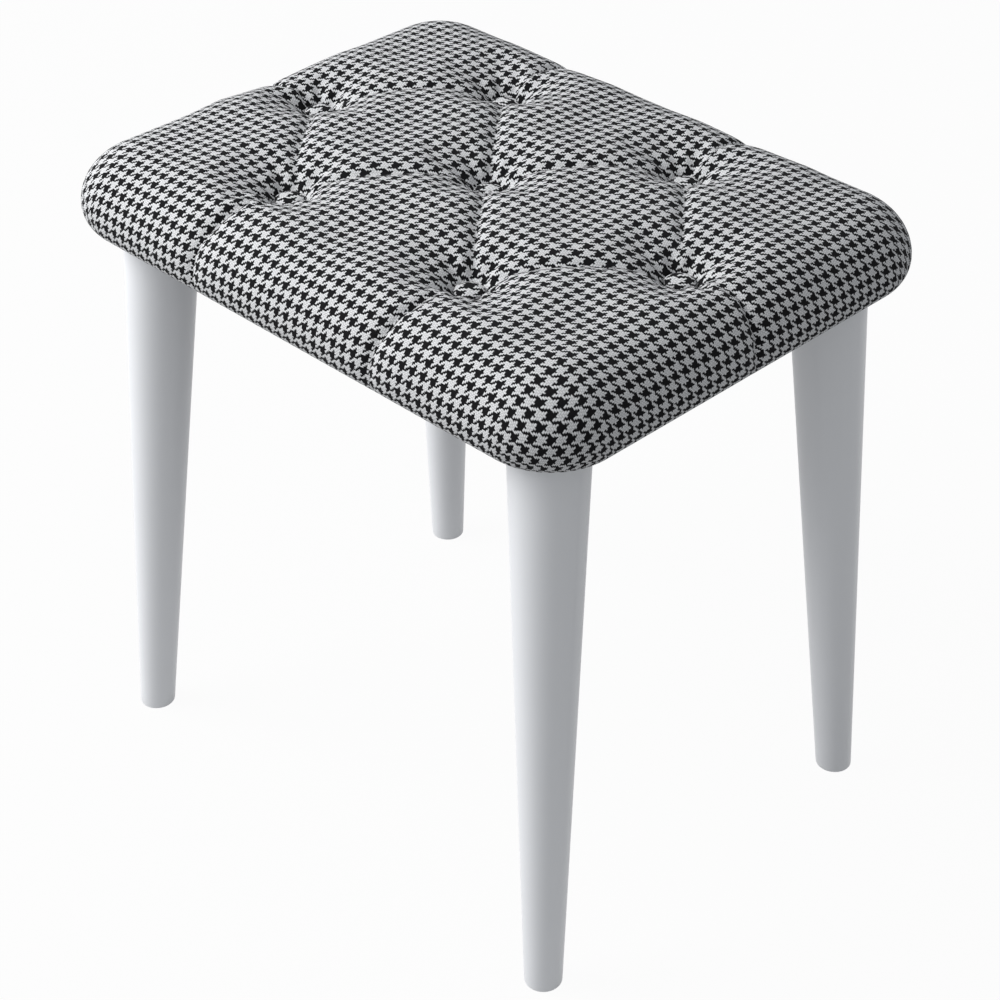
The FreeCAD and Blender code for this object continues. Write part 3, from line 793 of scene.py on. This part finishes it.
    def pull(self, flat: Array) -> Array:
        """How the flat pattern shifts where cloth is used up.

        Round a button it shifts outwards, most a little way from its edge, and dies out as an exponential of
        the way's fourth power. Across a pleat it jumps by the cloth in the fold.

        Args:
            flat: Flat cloth places, of shape (..., 2).

        Returns:
            The shift at each place.
        """
        shift = np.zeros(flat.shape)
        for place in self.places():
            away = flat - place
            radius = np.hypot(away[..., 0], away[..., 1])[..., None]
            used = smooth_step(radius / self.used_start) * np.exp(-((radius / self.used_reach) ** 4))
            shift += away / np.maximum(radius, TINY) * self.used_cloth * used
        for start, end in self.pleats():
            run = end - start
            share = ((flat - start) @ run) / (run @ run)
            side = np.array([run[1], -run[0]]) / np.hypot(*run)
            taper = smooth_step(self.fold_taper * share) * smooth_step(self.fold_taper * (1.0 - share))
            shift += self.jump((flat - start) @ side, taper)[..., None] * side
        for start, outward in self.edge_runs():
            side = np.array([outward[1], -outward[0]])
            taper = smooth_step(((flat - start) @ outward) / self.fold_start)
            shift += self.jump(self.aside(flat, start, outward), taper)[..., None] * side
        return shift

    def jump(self, aside: Array, taper: Array) -> Array:
        """The pattern's shift to either side of a crease, an exponential of the way from it."""
        return self.fold * np.sign(aside) * np.exp(-np.abs(aside) / self.fold_reach) * taper

    def aside(self, flat: Array, start: Array, outward: Array) -> Array:
        """The way sideways from an edge pleat's crease, which wanders as a sine.

        Args:
            flat: Flat cloth places, of shape (..., 2).
            start: The button's place.
            outward: The way that the pleat leaves.

        Returns:
            The way at each place, with its sign.
        """
        away = flat - start
        ahead = away @ outward
        sideways = away[..., 0] * outward[1] - away[..., 1] * outward[0]
        bend = np.sin(ahead / self.wander_wave) * smooth_step(ahead / self.wander_start)
        return sideways + self.wander * bend


@dataclass(frozen=True)
class Settling:
    """How the cover behaves as cloth while its padding swells it."""

    frames: int = 18
    quality: int = 6
    mass: float = 0.4
    stretch: float = 30.0
    shear: float = 12.0
    bending: float = 1.5
    pressure: float = 4.0
    shrink: float = -0.01
    hold_digits: int = 2

    def run(self, piece: Piece, held: Array) -> Array:
        """Lets a cloth settle under the pressure inside it, without weight.

        Args:
            piece: The cloth.
            held: How firmly each point is held, from 0 to 1.

        Returns:
            The settled points.
        """
        group = piece.vertex_groups.new(name="held")
        levels = np.round(held, self.hold_digits)
        for level in np.unique(levels):
            group.add(np.flatnonzero(levels == level).tolist(), float(level), "REPLACE")
        modifier = piece.modifiers.new("cloth", "CLOTH")
        cloth = modifier.settings
        cloth.quality = self.quality
        cloth.mass = self.mass
        cloth.tension_stiffness = self.stretch
        cloth.compression_stiffness = self.stretch
        cloth.shear_stiffness = self.shear
        cloth.bending_stiffness = self.bending
        cloth.use_pressure = True
        cloth.uniform_pressure_force = self.pressure
        cloth.shrink_min = self.shrink
        cloth.vertex_group_mass = group.name
        cloth.effector_weights.gravity = 0.0
        modifier.point_cache.frame_start = 1
        modifier.point_cache.frame_end = self.frames
        for step in range(1, self.frames + 1):
            bpy.context.scene.frame_set(step)
        return points_of(piece.evaluated_get(bpy.context.evaluated_depsgraph_get()))


@dataclass
class Seat:
    """Padded seat in one piece of cloth, drawn over the edge of the board and turned under it."""

    half_length: float
    half_width: float
    lower_edge: float
    tufts: Tufts
    settling: Settling = Settling()
    corner_radius: float = 0.050
    shoulder_run: float = 0.0475
    shoulder_rise: float = 0.0375
    crown: float = 0.0038
    widest: float = 0.419
    bulge_radius: float = 0.0206
    roll_start: float = math.radians(50)
    turned_under: float = 0.024
    section_steps: int = 60
    corner_shear: float = 0.17
    cell: float = 0.0036
    finer: int = 2
    fade_start: float = 0.64
    fade_run: float = 0.3
    hold_start: float = 0.75
    hold_run: float = 0.2
    button_hold: float = 0.003
    pleat_hold: float = 0.25
    pleat_hold_from: float = 0.6
    swell: float = 0.0026
    panel_reach: float = 0.048
    corner_hold: float = 1.0
    fill: float = 0.85

    def meridian(self) -> tuple[Array, Array, Array]:
        """The seat's section from the flat top over the shoulder and under the board.

        A short flat, a quarter ellipse down to the widest level, an arc that draws in below it, a tighter arc
        that rolls under, and a straight return.

        Returns:
            Length along the section, the way out from the inner rectangle, and the height.
        """
        turn = np.linspace(0.0, 1.0, self.section_steps)
        shoulder = turn * np.pi / 2
        flat_run = self.corner_radius - self.shoulder_run
        shoulder_top = self.widest + self.shoulder_rise
        out = [np.zeros(1), flat_run + self.shoulder_run * np.sin(shoulder)]
        up = [np.full(1, shoulder_top), self.widest + self.shoulder_rise * np.cos(shoulder)]
        draw_in = turn[1:] * self.roll_start
        out.append(self.corner_radius - self.bulge_radius * (1.0 - np.cos(draw_in)))
        up.append(self.widest - self.bulge_radius * np.sin(draw_in))
        roll = self.roll_start + turn[1:] * (np.pi / 2 - self.roll_start)
        roll_radius = (up[-1][-1] - self.lower_edge) / (1.0 - math.sin(self.roll_start))
        roll_out = out[-1][-1] - roll_radius * (math.cos(self.roll_start) - np.cos(roll))
        up.append(up[-1][-1] - roll_radius * (np.sin(roll) - math.sin(self.roll_start)))
        out += [roll_out, roll_out[-1:] - self.turned_under]
        up.append(up[-1][-1:])
        ways, heights = np.concatenate(out), np.concatenate(up)
        steps = np.hypot(np.diff(ways), np.diff(heights))
        return np.concatenate([[0.0], np.cumsum(steps)]), ways, heights

    def base(self, finer: int) -> tuple[Array, Array, Array, Array]:
        """The untufted seat on a grid.

        The middle of the grid is the flat top, raised by a crown that falls off both ways as the square of
        one less the fourth power. Its side strips run down the section, and each corner square turns into
        a quarter disc, where cloth is sheared so that less of it reaches the lower edge.

        Args:
            finer: How many parts each cell is split into along each side.

        Returns:
            Points, outward normals, flat cloth places and length along the section.
        """
        length, ways, heights = self.meridian()
        inner = np.array([self.half_length, self.half_width]) - self.corner_radius
        counts = [2 * int(half / self.cell) * finer + 1 for half in inner + length[-1]]
        spans = [np.linspace(-half, half, count) for half, count in zip(inner + length[-1], counts)]
        place = np.stack(np.meshgrid(*spans), axis=-1)
        core = np.clip(place, -inner, inner)
        past = np.abs(place - core)
        run = past.max(axis=-1)
        ratio = past.min(axis=-1) / np.maximum(run, TINY)
        angle = np.where(past[..., 0] >= past[..., 1], ratio, 2.0 - ratio) * np.pi / 4
        way = np.stack([np.cos(angle), np.sin(angle)], axis=-1) * np.sign(place)
        shear = 1.0 + self.corner_shear * np.sin(2.0 * angle) ** 2
        flat = core + way * (run / shear)[..., None]
        plan = core + way * np.interp(run, length, ways)[..., None]
        height = np.interp(run, length, heights)
        share = np.abs(core) / inner
        height += self.crown * np.prod((1.0 - share ** 4) ** 2, axis=-1) * (run <= 0)
        points = np.concatenate([plan, height[..., None]], axis=-1)
        slope_out = np.interp(run, length, np.gradient(ways, length))[..., None]
        slope_up = np.interp(run, length, np.gradient(heights, length))[..., None]
        normals = np.concatenate([way * -slope_up, slope_out], axis=-1)
        return points, normals / np.linalg.norm(normals, axis=-1, keepdims=True), flat, run

    def tufted(self, finer: int) -> tuple[Array, Array, Array]:
        """The seat with its hollows and pleats drawn in along the normals.

        Args:
            finer: How many parts each cell is split into along each side.

        Returns:
            Points, flat cloth places and how firmly each point is held.
        """
        points, normals, flat, run = self.base(finer)
        length, _, heights = self.meridian()
        lowest = length[np.argmax(heights <= self.lower_edge + LEVEL_TOLERANCE)]
        fade = 1.0 - smooth_step((run / lowest - self.fade_start) / self.fade_run)
        points = points - normals * self.tufts.sink(flat, fade)[..., None]
        return points, flat, self.held(flat, run / lowest)

    def held(self, flat: Array, down: Array) -> Array:
        """How firmly the cloth is held: fully under a button and at the lower edge, a little in the pleats.

        Args:
            flat: Flat cloth places, of shape (..., 2).
            down: Share of the way down to the lower edge.

        Returns:
            The hold at each place, from 0 to 1.
        """
        button = 1.0 - smooth_step((self.tufts.nearest(flat) - self.tufts.seat_radius) / self.button_hold)
        edge = smooth_step((down - self.hold_start) / self.hold_run)
        creases = [self.tufts.pleat(flat, *pair) / self.tufts.pleat_depth for pair in self.tufts.pleats()]
        deep = (np.max(creases, axis=0) - self.pleat_hold_from) / (1.0 - self.pleat_hold_from)
        return np.maximum(np.maximum(button, edge), self.pleat_hold * np.clip(deep, 0.0, 1.0))

    def build(self) -> Piece:
        """Models the tufted cover, lets the cloth settle over its padding and dresses it.

        Returns:
            The padded piece.
        """
        points, flat, _ = self.tufted(self.finer)
        points = points + finer_grid(self.settled())
        surface = grid_surface(points, flat=flat + self.tufts.pull(flat))
        piece = new_piece("seat_upholstery", surface, rim=rim_of(points))
        dress(piece, COVER_CLOTH)
        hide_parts("seat_cover", "foam_pad")
        return piece

    def settled(self) -> Array:
        """Inflates the cloth over its padding on a coarse grid, with the buttons and the lower edge held.

        A point moves by the swell at most, and by less the further it is from the panels between the buttons.

        Returns:
            How far each point of the coarse grid moves.
        """
        points, flat, held = self.tufted(1)
        piece = new_piece("settling_cloth", grid_surface(points))
        after = self.settling.run(piece, held.ravel())
        bpy.data.objects.remove(piece)
        bpy.context.scene.frame_set(1)
        moved = after.reshape(points.shape) - points
        far = np.linalg.norm(moved, axis=-1, keepdims=True)
        log.info("seat settled by up to %.1f mm", MM_PER_M * float(far.max()))
        outer = smooth_step((self.tufts.nearest(flat) - self.panel_reach) / self.panel_reach)
        most = self.swell * (1.0 - self.corner_hold * outer)[..., None]
        return moved * np.minimum(1.0, most / np.maximum(far, TINY))


@dataclass
class Buttons:
    """Covered buttons, each a shallow dome of the seat's cloth."""

    tufts: Tufts
    top: float
    radius: float = BUTTON_RADIUS
    height: float = 0.0042
    sunk: float = 0.0016
    tuck: float = 0.78
    fullness: float = 0.8
    pucker: float = 0.006
    pucker_count: int = 11
    rim_level: float = 0.35
    spare_cloth: float = 1.15
    most_turn: float = 0.5
    cut_span: float = 0.012
    seed: int = 3
    rows: int = 14
    columns: int = 48
    rounding: int = 1

    def dome(self, place: Array, turn: float, offset: Array) -> Surface:
        """One button: a rounded dome that tucks in below its rim.

        Down its section it goes out as a power of the sine, with small puckers at the rim, and falls as the
        cosine.

        Args:
            place: Its middle in plan.
            turn: How far its cloth is turned, in radians.
            offset: Where on the flat cloth it was cut.

        Returns:
            The surface, from its crown to under its rim.
        """
        arc = np.linspace(0.0, self.tuck * np.pi, self.rows)[:, None]
        around = np.linspace(0.0, FULL_TURN, self.columns, endpoint=False)[None, :]
        puckers = 1.0 + self.pucker * np.cos(self.pucker_count * around) * np.sin(arc) ** 6
        out = self.radius * np.sin(arc) ** self.fullness * puckers
        share = self.rim_level + (1.0 - self.rim_level) * np.cos(arc)
        up = np.broadcast_to(self.top - self.sunk + self.height * (share - 1.0), out.shape)
        points = np.stack([place[0] + out * np.cos(around), place[1] + out * np.sin(around), up], axis=-1)
        reach = self.spare_cloth * self.radius * arc / (np.pi / 2)
        flat = np.stack([reach * np.cos(around + turn), reach * np.sin(around + turn)], axis=-1) + offset
        return grid_surface(points, around=True, flat=flat)

    def build(self) -> Piece:
        """Models all the buttons as one piece and dresses it.

        Returns:
            The buttons.
        """
        draw = np.random.default_rng(self.seed)
        domes = []
        for place in self.tufts.places():
            turn = draw.uniform(-self.most_turn, self.most_turn)
            domes.append(self.dome(place, turn, draw.uniform(0.0, self.cut_span, 2)))
        piece = new_piece("covered_buttons", joined(domes))
        face_outwards(piece)
        modifier = piece.modifiers.new("rounding", "SUBSURF")
        modifier.levels = self.rounding
        modifier.render_levels = self.rounding
        dress(piece, COVER_CLOTH)
        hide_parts("tuft_buttons")
        return piece


# Legs


@dataclass
class Leg:
    """A straight turned cone, cut level at the floor, with its edges eased."""

    corner: Corner
    plate: Vector
    foot: Vector
    top_gap: float = 0.008
    top_radius: float = 0.025
    foot_radius: float = 0.0125
    ease: float = 0.0016
    ease_rows: int = 7
    body_rows: int = 12
    body_margin: float = 0.04
    columns: int = 96

    def eased(self) -> tuple[Array, Array]:
        """A quarter round at a rim: its inset from the cone and its way down the cone."""
        turn = np.linspace(0.0, np.pi / 2, self.ease_rows)
        return self.ease * (1.0 - np.sin(turn)), self.ease * (1.0 - np.cos(turn))

    def build(self) -> Piece:
        """Models the leg and dresses it.

        Each point slides down its own line of the cone, from the square top to where it meets the floor.

        Returns:
            The leg.
        """
        plate, foot = np.array(self.plate), np.array(self.foot)
        axis = (foot - plate) / np.linalg.norm(foot - plate)
        side = np.cross(axis, UP)
        side /= np.linalg.norm(side)
        front = np.cross(side, axis)
        around = np.linspace(0.0, FULL_TURN, self.columns, endpoint=False)
        ring = np.cos(around)[:, None] * side + np.sin(around)[:, None] * front
        head = plate + axis * self.top_gap
        top = head + ring * self.top_radius
        line = (foot + ring * self.foot_radius) - top
        floor = top + line * (-top[:, 2] / line[:, 2])[:, None]
        inset, drop = self.eased()
        unit = (floor - top) / np.linalg.norm(floor - top, axis=1, keepdims=True)
        body = np.linspace(self.body_margin, 1.0 - self.body_margin, self.body_rows)
        level = ring * IN_PLAN
        rows = [np.broadcast_to(head, top.shape)]
        rows += [top - ring * inwards + unit * down for inwards, down in zip(inset, drop)]
        rows += [top + (floor - top) * share for share in body]
        rows += [floor - level * inwards - unit * down for inwards, down in zip(inset[::-1], drop[::-1])]
        rows += [np.broadcast_to(foot * IN_PLAN, top.shape)]
        piece = new_piece(f"painted_leg_{self.corner.value}", grid_surface(np.stack(rows), around=True))
        face_outwards(piece)
        dress(piece, LEG_PAINT)
        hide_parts(f"leg_{self.corner.value}")
        return piece


# Underside


@dataclass
class DustSheet:
    """Thin black cloth under the seat, cut round the leg plates, with its edge folded under."""

    low: Vector
    high: Vector
    plate_x: float
    plate_y: float
    opening_half: float = 0.026
    opening_cut: float = 0.010
    hem: float = 0.012
    hem_rows: int = 5
    hem_rise: float = 3.0
    layer_share: float = 0.4
    sag: float = 0.0022
    ripple: float = 0.0004
    ripple_count: int = 23
    point_gap: float = 0.004
    rings: int = 26

    def outline(self) -> Array:
        """The edge: straight sides, corners cut slantwise through the plates, half an opening in each cut.

        Returns:
            Points along the edge in plan, evenly apart.
        """
        half_x, half_y = self.high.x, self.high.y
        half, inner = self.opening_half, self.opening_half - self.opening_cut
        near_side = [(0, -half), (-inner, -half), (-half, -inner)]
        far_side = [(-half, inner), (-inner, half), (0, half)]
        bite = np.array(near_side + far_side)
        turn = math.sqrt(HALF)
        local = np.stack([turn * (bite[:, 0] - bite[:, 1]), turn * (bite[:, 0] + bite[:, 1])], axis=-1)
        reach = (half_x - self.plate_x) + (half_y - self.plate_y)
        first = np.array([[half_x, half_y - reach]])
        last = np.array([[half_x - reach, half_y]])
        quarter = np.concatenate([first, local + (self.plate_x, self.plate_y), last])
        mirrored = (quarter * (-1, 1))[::-1]
        loop = np.concatenate([quarter, mirrored, -quarter, -mirrored])
        closed = np.concatenate([loop, loop[:1]])
        run = np.concatenate([[0.0], np.cumsum(np.hypot(*np.diff(closed, axis=0).T))])
        steps = np.linspace(0.0, run[-1], int(run[-1] / self.point_gap), endpoint=False)
        return np.stack([np.interp(steps, run, closed[:, axis]) for axis in (0, 1)], axis=-1)

    def build(self) -> Piece:
        """Models the sheet as rings of its outline that shrink to the middle, with the folded edge above.

        It sags by a share of one less the square of the ring's size, and ripples near its edge.

        Returns:
            The sheet.
        """
        edge = self.outline()
        size = np.linspace(0.0, 1.0, self.rings)[:, None]
        turn = np.arctan2(edge[:, 1], edge[:, 0])[None, :]
        ripple = self.ripple * np.sin(self.ripple_count * turn) * size ** 6 * (1.0 - size ** 40)
        height = self.low.z - self.sag * (1.0 - size ** 2) + ripple
        rings = np.concatenate([edge[None] * size[..., None], height[..., None]], axis=-1)
        back = np.linspace(0.0, 1.0, self.hem_rows)[1:, None]
        shrink = 1.0 - back * self.hem / self.high.x
        lift = self.low.z + (self.high.z - self.low.z) * np.minimum(1.0, self.hem_rise * back)
        lifted = np.broadcast_to(lift, (len(back), len(edge)))
        folded = np.concatenate([edge[None] * shrink[..., None], lifted[..., None]], axis=-1)
        grid = np.concatenate([rings, folded])
        piece = new_piece("dust_sheet", grid_surface(grid[:, ::-1], around=True))
        modifier = piece.modifiers.new("thickness", "SOLIDIFY")
        modifier.thickness = self.layer_share * (self.high.z - self.low.z)
        modifier.offset = 0.0
        dress(piece, BLACK_NON_WOVEN)
        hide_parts("dust_cover")
        return piece


# Studio


@dataclass
class Studio:
    """Pale floor, soft light from the left and the camera."""

    eye: Vector = field(default_factory=lambda: Vector((0.9542, -0.9434, 1.1501)))
    target: Vector = field(default_factory=lambda: Vector((0.00485, 0.00545, 0.2052)))
    lens: float = 86.42
    sensor: float = 36.0
    floor_half: float = 6.0
    floor_points: int = 3
    floor_colour: Colour = (0.52, 0.52, 0.52)
    floor_glow: float = 0.96
    ambient: float = 0.40
    sky: Colour = (0.95, 0.975, 1.0)
    key_way: Vector = field(default_factory=lambda: Vector((-0.6, -0.55, 0.66)))
    key_aim: Vector = field(default_factory=lambda: Vector((0.0, 0.0, 0.35)))
    key_distance: float = 2.4
    key_size: float = 1.5
    key_level: float = 1.03

    def build(self) -> None:
        """Makes the floor, the world, the lamp and the camera."""
        self.floor()
        self.world()
        self.lamp()
        self.camera()
        bpy.context.scene.view_settings.view_transform = "Standard"

    def seen_ray(self, shade: Shading) -> Socket:
        """Rays that show the background: straight from the eye, mirrored or through glass.

        Args:
            shade: The shading of the floor's or the world's tree.

        Returns:
            1 on such a ray, and else 0.
        """
        path = shade.node("ShaderNodeLightPath")
        mirrored = shade.math("MAXIMUM", path.outputs["Is Glossy Ray"], path.outputs["Is Transmission Ray"])
        return shade.math("MAXIMUM", path.outputs["Is Camera Ray"], mirrored)

    def floor(self) -> None:
        """A pale floor that shows white, keeps a little of the stool's shadow and is clear from below."""
        span = np.linspace(-self.floor_half, self.floor_half, self.floor_points)
        x, y = np.meshgrid(span, span)
        surface = grid_surface(np.stack([x, y, np.zeros_like(x)], axis=-1))
        mesh = bpy.data.meshes.new("floor")
        mesh.from_pydata(surface.points, [], surface.quads)
        piece = bpy.data.objects.new("floor", mesh)
        bpy.context.scene.collection.objects.link(piece)
        made = bpy.data.materials.new("pale_floor")
        made.use_nodes = True
        shade = Shading(made.node_tree)
        made.node_tree.nodes.remove(made.node_tree.nodes["Principled BSDF"])
        matt = shade.node("ShaderNodeBsdfDiffuse", {"Color": opaque(self.floor_colour)})
        glow = shade.node("ShaderNodeEmission", {"Color": opaque(WHITE), "Strength": 1.0})
        share = shade.math("MULTIPLY", self.seen_ray(shade), self.floor_glow)
        both = shade.node("ShaderNodeMixShader", {0: share, 1: matt.outputs[0], 2: glow.outputs[0]})
        below = shade.node("ShaderNodeNewGeometry").outputs["Backfacing"]
        clear = shade.node("ShaderNodeBsdfTransparent")
        shown = shade.node("ShaderNodeMixShader", {0: below, 1: both.outputs[0], 2: clear.outputs[0]})
        shade.feed(made.node_tree.nodes["Material Output"].inputs["Surface"], shown.outputs[0])
        mesh.materials.append(made)

    def world(self) -> None:
        """Even light from all round, which shows as white."""
        world = bpy.data.worlds.new("studio")
        world.use_nodes = True
        shade = Shading(world.node_tree)
        background = world.node_tree.nodes["Background"]
        seen = self.seen_ray(shade)
        shade.feed(background.inputs["Color"], shade.mix(seen, opaque(self.sky), opaque(WHITE)))
        shade.feed(background.inputs["Strength"], shade.ranged(seen, self.ambient, 1.0))
        bpy.context.scene.world = world

    def lamp(self) -> None:
        """One large soft lamp: its power is the wanted level times the square of pi times its distance."""
        light = bpy.data.lights.new("key", "AREA")
        light.size = self.key_size
        light.energy = self.key_level * (math.pi * self.key_distance) ** 2
        lamp = bpy.data.objects.new("key", light)
        way = self.key_way.normalized()
        lamp.location = self.key_aim + way * self.key_distance
        lamp.rotation_mode = "QUATERNION"
        lamp.rotation_quaternion = (-way).to_track_quat("-Z", "Y")
        bpy.context.scene.collection.objects.link(lamp)

    def camera(self) -> None:
        """The camera at the photograph's place, with its field of view."""
        lens = bpy.data.cameras.new("camera")
        lens.lens = self.lens
        lens.sensor_width = self.sensor
        camera = bpy.data.objects.new("camera", lens)
        camera.location = self.eye
        camera.rotation_mode = "QUATERNION"
        camera.rotation_quaternion = (self.target - self.eye).to_track_quat("-Z", "Y")
        bpy.context.scene.collection.objects.link(camera)
        bpy.context.scene.camera = camera


# Words in the names of the nodes that are steel.
STEEL_WORDS = ("staples", "screws", "bolt", "plate")


def dress_nodes() -> None:
    """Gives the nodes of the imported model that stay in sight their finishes."""
    nodes = frame["nodes"]
    for name, node in nodes.items():
        if any(word in name for word in STEEL_WORDS):
            dress(node, PLATED_STEEL)
    dress(nodes["seat_board"], BARE_PLYWOOD)
    dress(nodes["tuft_twines"], WAXED_TWINE)


def plate_top(corner: Corner) -> Vector:
    """The middle of a leg plate's upper face.

    Args:
        corner: The plate's corner.

    Returns:
        Its place.
    """
    low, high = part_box(f"leg_plate_{corner.value}")
    middle = (low + high) / 2
    return Vector((middle.x, middle.y, high.z))


def main() -> None:
    """Builds the stool's pieces in order and reports each."""
    logging.basicConfig(level=logging.INFO, format="%(name)s: %(message)s")
    twill_group()
    mottle_group()
    button_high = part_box("tuft_buttons")[1]
    tufts = Tufts(end_x=button_high.x - BUTTON_RADIUS, side_y=button_high.y - BUTTON_RADIUS)
    low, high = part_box("seat_cover")
    made = [Seat(half_length=high.x, half_width=high.y, lower_edge=low.z, tufts=tufts).build()]
    made.append(Buttons(tufts, top=button_high.z).build())
    feet = {mount["name"]: Vector(mount["pos_m"]) for mount in frame["record"]["mounts"]}
    for corner in Corner:
        made.append(Leg(corner, plate_top(corner), feet[f"foot_{corner.value}"]).build())
    plate = plate_top(Corner.BACK_RIGHT)
    made.append(DustSheet(*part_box("dust_cover"), plate.x, plate.y).build())
    dress_nodes()
    for piece in made:
        log.info("made %s with %d faces", piece.name, len(piece.data.polygons))
    Studio().build()


if __name__ == "__main__":
    main()
